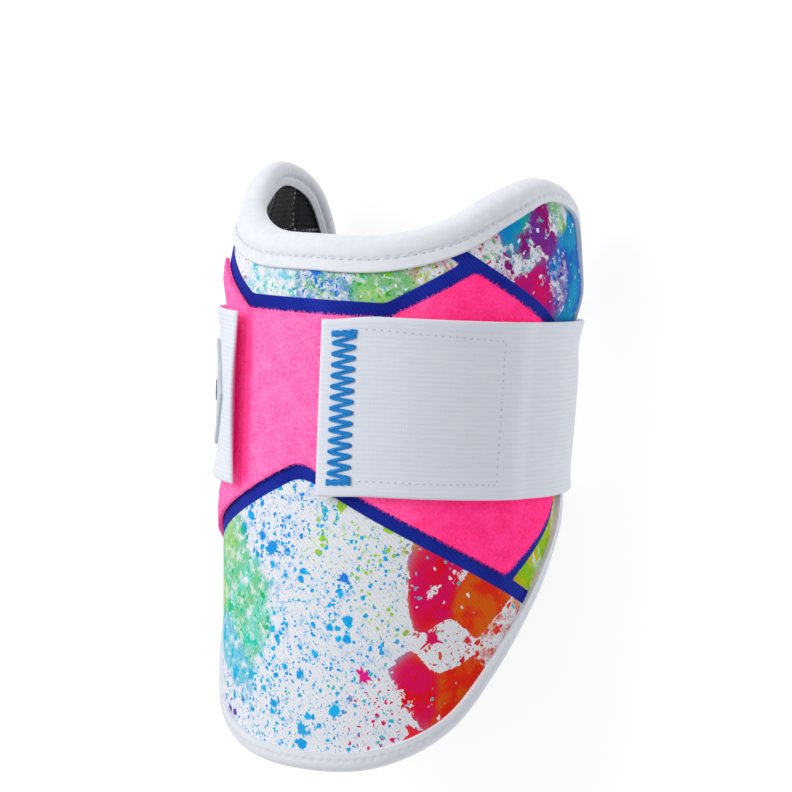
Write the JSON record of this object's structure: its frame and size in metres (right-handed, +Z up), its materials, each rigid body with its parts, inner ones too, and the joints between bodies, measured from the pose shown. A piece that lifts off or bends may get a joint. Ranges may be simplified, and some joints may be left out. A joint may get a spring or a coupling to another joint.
{
  "type": "baseball elbow guard",
  "caption": "Padded elbow guard: a moulded cuff, open at the back, with two ears and a rounded lobe, bound edges, a loop panel and an elastic strap that closes it round the arm.",
  "frame": {"origin": "middle of the strap's flat back face, on the surface that the guard lies on", "axes": "+X across the guard, +Y along the arm towards the ears, +Z up, out of the front"},
  "size_m": [0.1101, 0.171, 0.087],
  "materials": {
    "printed_fabric": "woven cover with a printed paint splatter and navy bands",
    "lining_mesh": "ribbed black mesh with light grooves",
    "binding_tape": "smooth white stretch tape over a soft edge",
    "loop_fabric": "brushed hot-pink loop fabric",
    "elastic_webbing": "ribbed white woven elastic",
    "hook_tape": "white hook tape",
    "moulded_rubber": "silver-grey moulded rubber with a bevelled rim"
  },
  "bodies": {
    "root": {"padded_shell": "printed_fabric", "lining": "lining_mesh", "edge_binding": "binding_tape", "loop_panel": "loop_fabric", "strap": "elastic_webbing", "front_hook_tab": "hook_tape", "side_hook_tab": "hook_tape", "badge": "moulded_rubber"}
  },
  "joints": []
}
